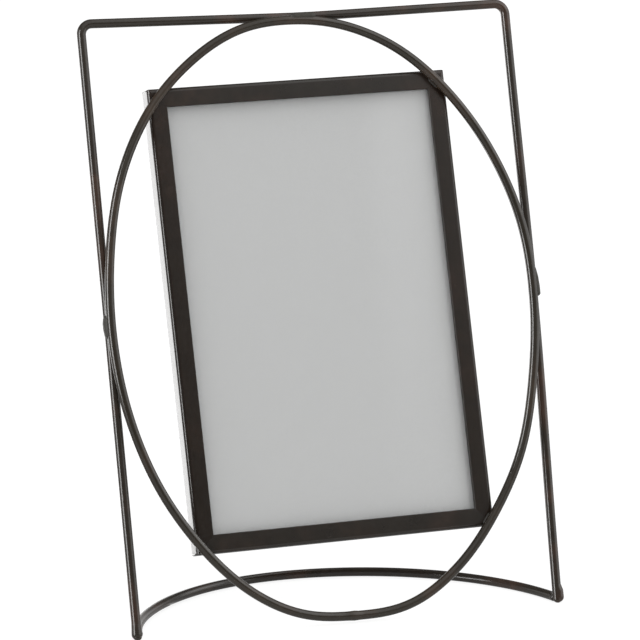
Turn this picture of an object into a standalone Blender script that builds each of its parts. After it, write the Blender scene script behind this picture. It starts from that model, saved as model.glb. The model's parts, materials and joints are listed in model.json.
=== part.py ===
"""Photo frame for one upright picture, on a stand of bent wire.

A shallow box of folded sheet metal holds the glass, the picture and a board. The box is welded by its
corners to the back of an oval wire ring. The ring is welded to a bent wire with two legs, and a curved
wire lying on the table props the whole up, leaning back.

The leaning pieces are drawn flat, X to the right, Y up the frame and Z towards the viewer. Two empties
then stand them up. The front of the frame faces -Y.
"""
import bpy
import bmesh
from math import acos, atan2, cos, exp, floor, hypot, pi, radians, sin, sqrt, tan
from mathutils import Matrix, Vector

# The picture and the stack that the box holds, front to back.
PHOTO_W = 0.1016
PHOTO_H = 0.1524
GLASS_THICK = 0.0015
INSERT_THICK = 0.00025
BOARD_THICK = 0.00105
GAP = 0.0003              # left between pieces that touch

# The sheet-metal box. Its face is hemmed at the opening, and its back edge turns in to a lip.
FACE_OVERLAP = 0.003175   # what the face covers of each edge of the picture
BORDER = 0.0065           # width of the face
SHEET = 0.0007
HEM_W = 0.0026
FACE_ROUND = 0.0012
BACK_ROUND = 0.0006
LIFT_GAP = 0.0004         # between the picture's edge and the lip that it passes

# Turn buttons and the rivets that they turn on.
BUTTON_THICK = 0.0005
BUTTON_R = 0.0033
TIP_R = 0.0022
PIVOT_INSET = 0.0047      # from the board's edge to the rivet
SHANK_R = 0.0009
PIVOT_GAP = 0.00015
HEAD_R = 0.0019
HEAD_RISE = 0.0006
TAIL_R = 0.0014
TAIL_THICK = 0.0004

# The wires.
WIRE_R = 0.0015875        # 1/8 inch wire
WIRE_SIDES = 12
LEAN = radians(15.86)
ROLL = radians(0.97)      # the ring and the box were welded in a little askew
RING_RISE = 0.0240        # of the ring's top above the box's, were they concentric
RING_INSET = 0.0025       # of the ring inside the corners of the box
# The ring is bent by hand. This is how far it stands outside a true ellipse, in mm, at every 15 degrees.
RING_SWELLS = (-0.43, 0.76, 0.40, -0.21, -0.46, -0.96, -0.93, 0.38, 0.74, 1.35, 1.05, -0.21,
               -0.68, -0.60, -0.52, -0.64, -0.04, 0.31, 0.15, 0.26, -0.63, -1.34, -0.97, -1.36)
JOINT_FLAT = 0.0013       # the wire's ends, butt-welded at the bottom, are a little flat
JOINT_ANGLE = radians(268.5)
JOINT_SPREAD = radians(12)
RING_SHIFT = -0.0008      # of the ring's centre from the middle of the legs
RING_CLEAR = 0.0010       # between the ring and the table
BOX_SHIFT = -0.0003       # of the box's centre from the ring's
BOX_RISE = 0.0029
BAR_RISE = 0.0015         # of the top bar's centre line above the ring's
BAR_TILT = 0.0045         # the bar's slope, up to the right
BAR_DIP = 0.0164          # its slope down to the weld, which drew it to the ring
DIP_X = 0.002
DIP_ROUND = 0.004
TOP_SPREAD = 0.0004       # of the legs beyond the ring's half width, at the top
FOOT_DRAW = 0.0001        # of the feet within it
BEND_R = 0.0038
RIGHT_TUCK = 0.0018       # the right leg is bent in at its foot
RIGHT_DRAW = 0.0006       # and a little at its top
RIGHT_BOW = 0.00105       # and bows out between, mostly above the middle
RIGHT_WAVE = 0.00016
BASE_DEPTH = 0.0629
BASE_FLAT = 0.0015        # the base arc is a little flat on its left
FLAT_ANGLE = radians(138)
FLAT_SPREAD = radians(28)

# Weld beads, as half sizes: across the wires, along them and towards the viewer.
BEAD_PROUD = 0.0008
LEFT_BEAD = (0.0012, 0.0041, 0.0022)
RIGHT_BEAD = (0.0016, 0.0055, 0.0022)
LEFT_BEAD_HEIGHT = 0.1056
RIGHT_BEAD_HEIGHT = 0.1120
TOP_BEAD = (0.0050, 0.0011, 0.0011)
CORNER_BEAD = (0.0011, 0.0022, 0.0009)
CORNER_BEAD_INWARD = 0.0017
FOOT_BEAD = (0.0015, 0.0021, 0.0013)
LEFT_FOOT_BEAD_INWARD = 0.0012271363     # of the bead from the base arc's centre line
RIGHT_FOOT_BEAD_INWARD = 0.001705437

# Sizes of the box that follow from those.
OPENING_W = PHOTO_W - 2 * FACE_OVERLAP
OPENING_H = PHOTO_H - 2 * FACE_OVERLAP
BOX_W = OPENING_W + 2 * BORDER
BOX_H = OPENING_H + 2 * BORDER
HEM_THICK = 2 * SHEET
GLASS_DEPTH = HEM_THICK + GAP
INSERT_DEPTH = GLASS_DEPTH + GLASS_THICK + GAP
BOARD_DEPTH = INSERT_DEPTH + INSERT_THICK + GAP
BUTTON_DEPTH = BOARD_DEPTH + BOARD_THICK + GAP
LIP_DEPTH = BUTTON_DEPTH + BUTTON_THICK + GAP
BOX_DEPTH = LIP_DEPTH + SHEET
LIP_REACH = BORDER - FACE_OVERLAP - LIFT_GAP
TIP_REACH = PIVOT_INSET + BORDER - FACE_OVERLAP - SHEET - GAP

# Sizes and places of the wires that follow from those.
RING_HALF_H = BOX_H / 2 + RING_RISE
RING_HALF_W = (BOX_W / 2 - RING_INSET) / sqrt(1 - ((BOX_H / 2 - RING_INSET) / RING_HALF_H) ** 2)


def ring_swell(angle):
    """How far the ring stands outside a true ellipse, on a smooth curve through the values given."""
    count = len(RING_SWELLS)
    steps = angle / (2 * pi) * count
    share = steps - floor(steps)
    a, b, c, d = (RING_SWELLS[(floor(steps) + offset) % count] for offset in (-1, 0, 1, 2))
    swell = b + share * (c - a + share * (2 * a - 5 * b + 4 * c - d + share * (3 * b - 3 * c + d - a))) / 2
    return swell / 1000 - JOINT_FLAT * exp(-((angle - JOINT_ANGLE) / JOINT_SPREAD) ** 2)


RING_TOP = RING_HALF_H + ring_swell(pi / 2)
RING_BOTTOM = RING_HALF_H + ring_swell(3 * pi / 2)
RING_FORWARD = 2 * WIRE_R + GAP
FACE_FORWARD = RING_FORWARD - WIRE_R - GAP
RING_FOOT = (RING_CLEAR + WIRE_R - RING_FORWARD * sin(LEAN)) / cos(LEAN)
RING_HEIGHT = RING_FOOT + RING_BOTTOM
BAR_HEIGHT = RING_HEIGHT + RING_TOP + BAR_RISE
TOP_HALF_SPAN = RING_HALF_W + TOP_SPREAD
FOOT_HALF_SPAN = RING_HALF_W - FOOT_DRAW
ARC_Z = WIRE_R * cos(pi / WIRE_SIDES)
FRONT_Y = RING_FOOT * sin(LEAN) - RING_FORWARD * cos(LEAN) - WIRE_R
BACK_Y = ARC_Z * tan(LEAN) + BASE_DEPTH + WIRE_R
MIDDLE_Y = (FRONT_Y + BACK_Y) / 2

# Steps in round shapes.
RING_STEPS = 96
ARC_STEPS = 40
BEND_STEPS = 6
LEG_STEPS = 12
BAR_STEPS = 14
FILLET_STEPS = 4
ROUND_STEPS = 16

for old in list(bpy.data.objects):
    bpy.data.objects.remove(old)


def new_collection(name):
    collection = bpy.data.collections.new(name)
    bpy.context.scene.collection.children.link(collection)
    return collection


pieces = new_collection("photo_frame")
cutters = new_collection("cutters")


def empty(name, location, rotation, parent=None):
    """An axis system that pieces hang on."""
    holder = bpy.data.objects.new(name, None)
    holder.empty_display_size = 0.02
    holder.location = location
    holder.rotation_euler = rotation
    holder.parent = parent
    pieces.objects.link(holder)
    return holder


def finish(name, colour, roughness, metallic, alpha=1.0):
    """A plain Principled material."""
    material = bpy.data.materials.new(name)
    material.use_nodes = True
    shader = material.node_tree.nodes["Principled BSDF"]
    shader.inputs["Base Color"].default_value = (*colour, 1.0)
    shader.inputs["Roughness"].default_value = roughness
    shader.inputs["Metallic"].default_value = metallic
    shader.inputs["Alpha"].default_value = alpha
    return material


def dark_bronze(name):
    """The brown-black lacquer on all the metal that shows."""
    return finish(name, (0.030, 0.025, 0.021), 0.42, 0.6)


def weld_metal(name):
    """Lacquered weld metal, a little olive and duller than the wire."""
    return finish(name, (0.062, 0.058, 0.042), 0.6, 0.5)


def add_piece(name, mesh, material, parent=None, location=(0, 0, 0), turn=0.0):
    """A named solid of the frame."""
    piece = bpy.data.objects.new(name, mesh)
    mesh.materials.append(material)
    mesh.shade_smooth()
    mesh.set_sharp_from_angle(angle=radians(35))
    piece.parent = parent
    piece.location = location
    piece.rotation_euler = (0, 0, turn)
    pieces.objects.link(piece)
    return piece


def add_cutter(name, mesh, parent=None, location=(0, 0, 0)):
    """A hidden solid that takes room out of the pieces."""
    cutter = bpy.data.objects.new(name, mesh)
    cutter.parent = parent
    cutter.location = location
    cutter.hide_render = True
    cutter.display_type = 'WIRE'
    cutters.objects.link(cutter)
    return cutter


def cut(piece, *tools):
    for tool in tools:
        change = piece.modifiers.new(tool.name, 'BOOLEAN')
        change.operation = 'DIFFERENCE'
        change.object = tool


def finished_mesh(name, solid):
    """The mesh of a bmesh, with its faces pointing out."""
    bmesh.ops.recalc_face_normals(solid, faces=solid.faces)
    mesh = bpy.data.meshes.new(name)
    solid.to_mesh(mesh)
    solid.free()
    return mesh


def curve_mesh(curve):
    """The welded mesh of a curve."""
    holder = bpy.data.objects.new(curve.name, curve)
    bpy.context.scene.collection.objects.link(holder)
    evaluated = holder.evaluated_get(bpy.context.evaluated_depsgraph_get())
    mesh = bpy.data.meshes.new_from_object(evaluated)
    bpy.data.objects.remove(holder)
    bpy.data.curves.remove(curve)
    solid = bmesh.new()
    solid.from_mesh(mesh)
    bmesh.ops.remove_doubles(solid, verts=solid.verts, dist=1e-6)
    bmesh.ops.recalc_face_normals(solid, faces=solid.faces)
    solid.to_mesh(mesh)
    solid.free()
    return mesh


def wire_mesh(name, points, radius=WIRE_R, closed=False, turn=0.0):
    """A round wire along the points."""
    curve = bpy.data.curves.new(name, 'CURVE')
    curve.dimensions = '3D'
    curve.twist_mode = 'Z_UP'
    curve.bevel_depth = radius
    curve.bevel_resolution = WIRE_SIDES // 2 - 2
    curve.use_fill_caps = True
    spline = curve.splines.new('POLY')
    spline.points.add(len(points) - 1)
    for point, place in zip(spline.points, points):
        point.co = (*place, 1.0)
        point.tilt = turn
    spline.use_cyclic_u = closed
    return curve_mesh(curve)


def plate_mesh(name, outlines, thickness):
    """A flat plate centred on Z, with the later outlines as holes in the first."""
    curve = bpy.data.curves.new(name, 'CURVE')
    curve.dimensions = '2D'
    curve.fill_mode = 'BOTH'
    curve.extrude = thickness / 2
    for outline in outlines:
        spline = curve.splines.new('POLY')
        spline.points.add(len(outline) - 1)
        for point, (x, y) in zip(spline.points, outline):
            point.co = (x, y, 0, 1)
        spline.use_cyclic_u = True
    return curve_mesh(curve)


def box_mesh(name, width, height, thickness):
    solid = bmesh.new()
    bmesh.ops.create_cube(solid, size=1)
    bmesh.ops.scale(solid, vec=(width, height, thickness), verts=solid.verts)
    return finished_mesh(name, solid)


def arc(centre, radius, start, end, steps):
    """Points along an arc in the XY plane, both ends included."""
    points = []
    for step in range(steps + 1):
        angle = start + (end - start) * step / steps
        points.append((centre[0] + radius * cos(angle), centre[1] + radius * sin(angle)))
    return points


# The empties. One leans back, and one in it carries the slight roll of the ring and the box.
lean = empty("lean", (0, -MIDDLE_Y, 0), (pi / 2 - LEAN, 0, 0))
roll = empty("roll", (RING_SHIFT, RING_HEIGHT, 0), (0, 0, ROLL), lean)


# The outer wire: left leg, top bar and right leg in one, ground flat where it stands on the table.
FOOT_OVERRUN = 0.004


def leg_x(height, side):
    """Where a leg's centre line is, at a height up the frame."""
    share = height / BAR_HEIGHT
    x = FOOT_HALF_SPAN + (TOP_HALF_SPAN - FOOT_HALF_SPAN) * share
    if side > 0:
        x -= RIGHT_TUCK * (1 - share) + RIGHT_DRAW * share
        x += RIGHT_BOW * sin(pi * share) - RIGHT_WAVE * sin(3 * pi * share)
    return side * x


def bar_y(x):
    """How high the top bar's centre line is, up the frame."""
    return BAR_HEIGHT + BAR_TILT * x + BAR_DIP * (hypot(x - DIP_X, DIP_ROUND) - DIP_ROUND)


def outer_wire_points():
    left = leg_x(BAR_HEIGHT, -1) + BEND_R
    right = leg_x(BAR_HEIGHT, 1) - BEND_R
    right_bend = bar_y(right) - BEND_R
    points = [(leg_x(-FOOT_OVERRUN, -1), -FOOT_OVERRUN)]
    points += arc((left, bar_y(left) - BEND_R), BEND_R, pi, pi / 2, BEND_STEPS)
    for step in range(1, BAR_STEPS):
        x = left + (right - left) * step / BAR_STEPS
        points.append((x, bar_y(x)))
    points += arc((right, right_bend), BEND_R, pi / 2, 0, BEND_STEPS)
    for step in range(1, LEG_STEPS + 1):
        height = right_bend - (right_bend + FOOT_OVERRUN) * step / LEG_STEPS
        points.append((leg_x(height, 1), height))
    return [(x, y, 0) for x, y in points]


TABLE_SIZE = 0.4
table_cutter = add_cutter("table_cutter", box_mesh("table_cutter", TABLE_SIZE, TABLE_SIZE, TABLE_SIZE),
                          location=(0, 0, -TABLE_SIZE / 2))
outer_wire = add_piece("outer_wire", wire_mesh("outer_wire", outer_wire_points()),
                       dark_bronze("outer_wire"), lean)
cut(outer_wire, table_cutter)


# The ring: an ellipse, swelled a little along its normals.
def ring_point(angle):
    """A point of the ring's centre line, about its own centre."""
    normal = Vector((RING_HALF_H * cos(angle), RING_HALF_W * sin(angle), 0)).normalized()
    return Vector((RING_HALF_W * cos(angle), RING_HALF_H * sin(angle), 0)) + ring_swell(angle) * normal


ring_points = [ring_point(2 * pi * step / RING_STEPS) for step in range(RING_STEPS)]
add_piece("ring_wire", wire_mesh("ring_wire", ring_points, closed=True),
          dark_bronze("ring_wire"), roll, (0, 0, RING_FORWARD))


# The base arc: a round arc on the table, through both feet, cut back where the leaning legs are.
foot_height = ARC_Z / cos(LEAN)
foot_y = ARC_Z * tan(LEAN) - MIDDLE_Y
left_x = leg_x(foot_height, -1)
right_x = leg_x(foot_height, 1)
half_chord = (right_x - left_x) / 2
arc_r = (half_chord ** 2 + BASE_DEPTH ** 2) / (2 * BASE_DEPTH)
arc_centre = ((left_x + right_x) / 2, foot_y + BASE_DEPTH - arc_r)
arc_reach = acos(1 - BASE_DEPTH / arc_r)
end_clear = WIRE_R * tan(LEAN) + WIRE_R / cos(LEAN) + GAP


def base_arc_points(clear):
    """The arc's centre line, starting and ending that far short of the legs' centre lines."""
    reach = arc_reach - clear / arc_r
    points = []
    for step in range(ARC_STEPS + 1):
        angle = pi / 2 + reach * (1 - 2 * step / ARC_STEPS)
        radius = arc_r - BASE_FLAT * exp(-((angle - FLAT_ANGLE) / FLAT_SPREAD) ** 2)
        points.append((arc_centre[0] + radius * cos(angle), arc_centre[1] + radius * sin(angle), ARC_Z))
    return points


add_piece("base_arc", wire_mesh("base_arc", base_arc_points(end_clear), turn=pi / WIRE_SIDES),
          dark_bronze("base_arc"))


# Room for the wires in the weld beads: the same wires, fatter by the gap.
FAT_R = WIRE_R + GAP
leg_room = add_cutter("leg_room", wire_mesh("leg_room", outer_wire_points(), FAT_R), lean)
ring_room = add_cutter("ring_room", wire_mesh("ring_room", ring_points, FAT_R, closed=True), roll,
                       (0, 0, RING_FORWARD))
arc_room = add_cutter("arc_room", wire_mesh("arc_room", base_arc_points(0), FAT_R))


def add_bead(name, centre, half_sizes, parent=None, turn=0.0):
    """An ellipsoid bead of weld metal."""
    solid = bmesh.new()
    bmesh.ops.create_uvsphere(solid, u_segments=ROUND_STEPS, v_segments=ROUND_STEPS // 2 + 1, radius=1)
    bmesh.ops.scale(solid, vec=half_sizes, verts=solid.verts)
    return add_piece(name, finished_mesh(name, solid), weld_metal(name), parent, centre, turn)


# Side welds: a bead in the outer groove between the ring and each leg.
def side_weld(name, side, height, half_sizes):
    x = leg_x(height, side) + side * (WIRE_R + BEAD_PROUD - half_sizes[0])
    weld = add_bead(name, (x, height, RING_FORWARD / 2), half_sizes, lean)
    cut(weld, leg_room, ring_room)


side_weld("left_side_weld", -1, LEFT_BEAD_HEIGHT, LEFT_BEAD)
side_weld("right_side_weld", 1, RIGHT_BEAD_HEIGHT, RIGHT_BEAD)


# Top weld: a bead in the groove above the ring and in front of the bar.
groove = Vector((RING_FORWARD, BAR_RISE)).normalized() * TOP_BEAD[1]
top_place = (RING_SHIFT, BAR_HEIGHT - BAR_RISE / 2 + groove.x, RING_FORWARD / 2 + groove.y)
cut(add_bead("top_weld", top_place, TOP_BEAD, lean), leg_room, ring_room)


# Corner welds: a fillet on the inner side of the ring where it crosses each mitre of the box.
def crossing(quadrant):
    """The ring's angle where it crosses the mitre in one quarter."""
    def off_mitre(angle):
        point = ring_point(angle)
        return abs((BOX_W / 2 - abs(point.x - BOX_SHIFT)) - (BOX_H / 2 - abs(point.y - BOX_RISE)))
    tries = 500
    return min((pi / 2 * (quadrant + step / tries) for step in range(tries)), key=off_mitre)


face_room = add_cutter("face_room", box_mesh("face_room", 1.2 * BOX_W, 1.2 * BOX_H, BOX_DEPTH), roll,
                       (0, 0, FACE_FORWARD + GAP - BOX_DEPTH / 2))
for quadrant, corner in enumerate(("top_right", "top_left", "bottom_left", "bottom_right")):
    angle = crossing(quadrant)
    point = ring_point(angle)
    tangent = (ring_point(angle + 0.01) - point).normalized()
    inward = Vector((-tangent.y, tangent.x, 0))
    centre = point + inward * CORNER_BEAD_INWARD
    centre.z = FACE_FORWARD + GAP
    weld = add_bead(corner + "_weld", centre, CORNER_BEAD, roll, atan2(inward.y, inward.x))
    cut(weld, ring_room, face_room)


# Foot welds: a web on the inner side of each foot, between the leg and the base arc.
for name, side, end, inward in (("left_foot_weld", -1, 0, LEFT_FOOT_BEAD_INWARD),
                                ("right_foot_weld", 1, -1, RIGHT_FOOT_BEAD_INWARD)):
    arc_x = base_arc_points(FAT_R)[end][0]
    weld = add_bead(name, (arc_x - side * inward, foot_y + FAT_R, ARC_Z), FOOT_BEAD)
    cut(weld, leg_room, arc_room)


# The picture box: four members of folded sheet, mitred. Depth runs back from the face.
box = empty("picture_box", (BOX_SHIFT, BOX_RISE, FACE_FORWARD), (0, 0, 0), roll)


def member_section():
    """The folded section, as (inset from the outer wall, depth behind the face)."""
    hem_r = HEM_THICK / 2
    points = arc((FACE_ROUND, FACE_ROUND), FACE_ROUND, pi, 3 * pi / 2, FILLET_STEPS)
    points += arc((BORDER - hem_r, hem_r), hem_r, -pi / 2, pi / 2, 2 * FILLET_STEPS)
    points += [(BORDER - HEM_W, HEM_THICK), (BORDER - HEM_W, SHEET)]
    inner_r = FACE_ROUND - SHEET
    points += arc((FACE_ROUND, FACE_ROUND), inner_r, 3 * pi / 2, pi, FILLET_STEPS)
    points += [(SHEET, LIP_DEPTH), (LIP_REACH, LIP_DEPTH), (LIP_REACH, BOX_DEPTH)]
    points += arc((BACK_ROUND, BOX_DEPTH - BACK_ROUND), BACK_ROUND, pi / 2, pi, FILLET_STEPS)
    return points


def member_mesh(name, length, reach):
    """A member above the box's centre, its outer wall at the reach, its ends mitred."""
    solid = bmesh.new()
    section = [solid.verts.new((-1, reach - inset, -depth)) for inset, depth in member_section()]
    end = solid.faces.new(section)
    swept = bmesh.ops.extrude_face_region(solid, geom=[end], use_keep_orig=True)
    for item in swept["geom"]:
        if isinstance(item, bmesh.types.BMVert):
            item.co.x = 1
    for vert in solid.verts:
        inset = reach - vert.co.y
        vert.co.x *= length / 2 - inset - GAP / sqrt(2)
    return finished_mesh(name, solid)


for name, length, reach, turn in (("top_rail", BOX_W, BOX_H / 2, 0),
                                  ("left_stile", BOX_H, BOX_W / 2, pi / 2),
                                  ("bottom_rail", BOX_W, BOX_H / 2, pi),
                                  ("right_stile", BOX_H, BOX_W / 2, -pi / 2)):
    add_piece(name, member_mesh(name, length, reach), dark_bronze(name), box, turn=turn)


# Glass, picture and board, each as large as the picture, laid in from the back.
def sheet_piece(name, thickness, depth, material):
    mesh = box_mesh(name, PHOTO_W, PHOTO_H, thickness)
    return add_piece(name, mesh, material, box, (0, 0, -depth - thickness / 2))


sheet_piece("glass_pane", GLASS_THICK, GLASS_DEPTH, finish("glass_pane", (0.9, 0.92, 0.92), 0.05, 0, 0.2))
sheet_piece("photo_insert", INSERT_THICK, INSERT_DEPTH, finish("photo_insert", (0.52, 0.52, 0.52), 0.8, 0))
board = sheet_piece("backing_board", BOARD_THICK, BOARD_DEPTH,
                    finish("backing_board", (0.03, 0.03, 0.03), 0.9, 0))

# Each button's pivot, and the turn that points its tip at the nearest wall.
pivot_x = PHOTO_W / 2 - PIVOT_INSET
pivot_y = PHOTO_H / 2 - PIVOT_INSET
PIVOTS = {
    "top": ((0, pivot_y), 0),
    "left": ((-pivot_x, 0), pi / 2),
    "bottom": ((0, -pivot_y), pi),
    "right": ((pivot_x, 0), -pi / 2),
}


# Turn buttons: flat drops of spring steel, whose tips lock under the lip.
def button_outline():
    """A round end about the pivot, drawn in to a smaller round tip along +Y."""
    tip_y = TIP_REACH - TIP_R
    slope = acos((BUTTON_R - TIP_R) / tip_y)
    points = arc((0, 0), BUTTON_R, pi / 2 + slope, 5 * pi / 2 - slope, ROUND_STEPS)
    points += arc((0, tip_y), TIP_R, pi / 2 - slope, pi / 2 + slope, ROUND_STEPS // 2)
    return points


def circle(radius):
    return arc((0, 0), radius, 0, 2 * pi, ROUND_STEPS)[:-1]


button_mesh = plate_mesh("turn_button", [button_outline(), circle(SHANK_R + PIVOT_GAP)], BUTTON_THICK)
for side, ((x, y), turn) in PIVOTS.items():
    name = side + "_turn_button"
    add_piece(name, button_mesh.copy(), finish(name, (0.32, 0.31, 0.29), 0.4, 0.9), box,
              (x, y, -BUTTON_DEPTH - BUTTON_THICK / 2), turn)


# Rivets: turned, with a tail let into the board's front and a domed head behind the button.
def rivet_profile():
    """Radius and depth behind the face, from the tail's middle to the head's."""
    tail_depth = BOARD_DEPTH + PIVOT_GAP
    head_depth = BUTTON_DEPTH + BUTTON_THICK + PIVOT_GAP
    points = [(0, tail_depth), (TAIL_R, tail_depth), (TAIL_R, tail_depth + TAIL_THICK),
              (SHANK_R, tail_depth + TAIL_THICK), (SHANK_R, head_depth)]
    for step in range(FILLET_STEPS + 1):
        angle = pi / 2 * step / FILLET_STEPS
        points.append((HEAD_R * cos(angle), head_depth + HEAD_RISE * sin(angle)))
    return points


def rivet_mesh(name):
    solid = bmesh.new()
    verts = [solid.verts.new((radius, 0, -depth)) for radius, depth in rivet_profile()]
    edges = [solid.edges.new(pair) for pair in zip(verts, verts[1:])]
    bmesh.ops.spin(solid, geom=verts + edges, cent=(0, 0, 0), axis=(0, 0, 1), angle=2 * pi,
                   steps=ROUND_STEPS, use_merge=True)
    bmesh.ops.remove_doubles(solid, verts=solid.verts, dist=1e-6)
    return finished_mesh(name, solid)


rivet = rivet_mesh("rivet")
for side, ((x, y), turn) in PIVOTS.items():
    name = side + "_rivet"
    add_piece(name, rivet.copy(), finish(name, (0.45, 0.43, 0.4), 0.35, 0.9), box, (x, y, 0))


# The rivets' holes in the board, and the recesses that their tails lie in.
def round_holes_mesh(name, radius, start, end):
    """A cylinder at each pivot, between two depths behind the face."""
    solid = bmesh.new()
    for (x, y), turn in PIVOTS.values():
        place = Matrix.Translation((x, y, -(start + end) / 2))
        bmesh.ops.create_cone(solid, cap_ends=True, segments=ROUND_STEPS, radius1=radius, radius2=radius,
                              depth=end - start, matrix=place)
    return finished_mesh(name, solid)


tail_end = BOARD_DEPTH + TAIL_THICK + 2 * PIVOT_GAP
shank_holes = round_holes_mesh("shank_holes", SHANK_R + PIVOT_GAP, BOARD_DEPTH - GAP, BUTTON_DEPTH)
tail_recesses = round_holes_mesh("tail_recesses", TAIL_R + PIVOT_GAP, BOARD_DEPTH - GAP, tail_end)
cut(board, add_cutter("shank_holes", shank_holes, box), add_cutter("tail_recesses", tail_recesses, box))
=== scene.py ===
"""A table photo frame of bent wire and folded sheet metal, in a dark bronze lacquer.

An oval wire ring is welded to the front of a bent wire with two legs, and the picture box is welded to
the back of the ring. A curved wire on the table props it up, leaning back.

Sizes are in metres, the front faces -Y, and +X is to the viewer's right.
"""
import json
from math import acos, cos, exp, floor, hypot, pi, radians, sin, tan

import bmesh
import bpy
from mathutils import Matrix, Vector, noise

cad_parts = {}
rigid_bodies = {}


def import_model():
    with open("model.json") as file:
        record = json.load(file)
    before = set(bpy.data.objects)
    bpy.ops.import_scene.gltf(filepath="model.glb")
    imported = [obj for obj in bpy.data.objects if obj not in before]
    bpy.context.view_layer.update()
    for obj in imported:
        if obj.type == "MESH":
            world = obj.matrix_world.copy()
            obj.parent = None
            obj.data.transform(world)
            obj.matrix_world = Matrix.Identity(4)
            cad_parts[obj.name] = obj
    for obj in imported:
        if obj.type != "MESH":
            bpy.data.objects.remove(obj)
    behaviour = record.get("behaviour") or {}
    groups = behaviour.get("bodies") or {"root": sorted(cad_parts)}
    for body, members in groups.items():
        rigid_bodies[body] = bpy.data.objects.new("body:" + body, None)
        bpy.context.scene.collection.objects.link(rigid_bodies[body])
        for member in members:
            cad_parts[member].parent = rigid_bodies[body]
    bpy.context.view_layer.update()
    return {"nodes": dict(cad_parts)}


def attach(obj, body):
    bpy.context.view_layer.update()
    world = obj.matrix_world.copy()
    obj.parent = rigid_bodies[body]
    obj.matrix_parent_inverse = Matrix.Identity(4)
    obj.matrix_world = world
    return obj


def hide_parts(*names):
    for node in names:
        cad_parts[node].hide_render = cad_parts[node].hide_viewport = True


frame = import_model()


# The outer wire makes the two legs and the top bar. It is one round steel wire, bent at the two top
# corners, dipped in a dark bronze lacquer, and its ends are rounded where they stand on the table.
GAP = 0.0003              # between two pieces, which a weld or a fold closes
WIRE_R = 0.0015875
LEAN = radians(15.86)
MIDDLE_Y = 0.030229       # from the feet back to the middle of the footprint
BAR_HEIGHT = 0.208193
BAR_TILT = 0.0045         # how steeply the bar rises to the right
BAR_DIP = 0.0164          # and on both sides of its dip
DIP_X = 0.002
DIP_ROUND = 0.004
BEND_R = 0.0038
TOP_HALF_SPAN = 0.077665
FOOT_HALF_SPAN = 0.077165
RIGHT_TUCK = 0.0018       # how far in the right leg is bent at its foot
RIGHT_DRAW = 0.0006       # and at its top
RIGHT_BOW = 0.00105       # and how far out between them
RIGHT_WAVE = 0.00016
FOOT_OVERRUN = 0.004      # how far the wire runs past the table before it is cut off there
END_ROUND = 0.0014
END_STEPS = 6
WIRE_STEPS = 48
BEND_STEPS = 14
JOIN_WITHIN = 1e-7
# From flat work, with the frame's height along Y and its front up, to where it leans.
leaning = Matrix.Translation((0, -MIDDLE_Y, 0)) @ Matrix.Rotation(pi / 2 - LEAN, 4, 'X')


def leg_x(height, side):
    """Where a leg's centre line is, at a height up the frame."""
    share = height / BAR_HEIGHT
    x = FOOT_HALF_SPAN + (TOP_HALF_SPAN - FOOT_HALF_SPAN) * share
    if side > 0:
        x -= RIGHT_TUCK * (1 - share) + RIGHT_DRAW * share
        x += RIGHT_BOW * sin(pi * share) - RIGHT_WAVE * sin(3 * pi * share)
    return side * x


def bar_y(x):
    """How high the top bar's centre line is, up the frame. The weld drew its middle down to the ring."""
    return BAR_HEIGHT + BAR_TILT * x + BAR_DIP * (hypot(x - DIP_X, DIP_ROUND) - DIP_ROUND)


def arc(centre, radius, start, end, steps):
    """Points along an arc in the XY plane, both ends included."""
    angles = [start + (end - start) * step / steps for step in range(steps + 1)]
    return [(centre[0] + radius * cos(a), centre[1] + radius * sin(a)) for a in angles]


def outer_wire_path():
    """The centre line from foot to foot, with the leaning plane as XY."""
    left = leg_x(BAR_HEIGHT, -1) + BEND_R
    right = leg_x(BAR_HEIGHT, 1) - BEND_R
    path = [(leg_x(-FOOT_OVERRUN, -1), -FOOT_OVERRUN)]
    path += arc((left, bar_y(left) - BEND_R), BEND_R, pi, pi / 2, BEND_STEPS)
    for step in range(1, WIRE_STEPS):
        x = left + (right - left) * step / WIRE_STEPS
        path.append((x, bar_y(x)))
    right_bend = bar_y(right) - BEND_R
    path += arc((right, right_bend), BEND_R, pi / 2, 0, BEND_STEPS)
    for step in range(1, WIRE_STEPS + 1):
        height = right_bend - (right_bend - FOOT_OVERRUN) * step / WIRE_STEPS
        path.append((leg_x(height, 1), height))
    path.append((leg_x(-FOOT_OVERRUN, 1), -FOOT_OVERRUN))
    return [Vector((x, y, 0)) for x, y in path]


def settled(holder):
    """The finished mesh of a passing object, which is then removed with its data."""
    bpy.context.scene.collection.objects.link(holder)
    shape = bpy.data.meshes.new_from_object(holder.evaluated_get(bpy.context.evaluated_depsgraph_get()))
    solid = bmesh.new()
    solid.from_mesh(shape)
    bpy.data.batch_remove([holder, holder.data, shape])
    return solid


def tube(name, path, radii, place, closed=False):
    """A round wire along a path, with a radius at each point."""
    curve = bpy.data.curves.new(name, 'CURVE')
    curve.dimensions = '3D'
    curve.twist_mode = 'Z_UP'
    curve.bevel_depth = 1
    curve.bevel_resolution = 12
    curve.use_fill_caps = True
    spline = curve.splines.new('POLY')
    spline.points.add(len(path) - 1)
    for point, co, radius in zip(spline.points, path, radii):
        point.co = (*co, 1)
        point.radius = radius
    spline.use_cyclic_u = closed
    solid = settled(bpy.data.objects.new(name, curve))
    bmesh.ops.remove_doubles(solid, verts=solid.verts, dist=JOIN_WITHIN)
    bmesh.ops.transform(solid, matrix=place, verts=solid.verts)
    return solid


def cut_off(solid, point, outward):
    """Cuts a solid off at a plane, closes it there, and gives the new rim."""
    cut = bmesh.ops.bisect_plane(solid, geom=solid.verts[:] + solid.edges[:] + solid.faces[:],
                                 plane_co=point, plane_no=outward, clear_outer=True)
    rim = [item for item in cut["geom_cut"] if isinstance(item, bmesh.types.BMEdge)]
    bmesh.ops.holes_fill(solid, edges=rim)
    return rim


def cut_off_at_table(solid):
    return cut_off(solid, (0, 0, 0), (0, 0, -1))


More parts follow.
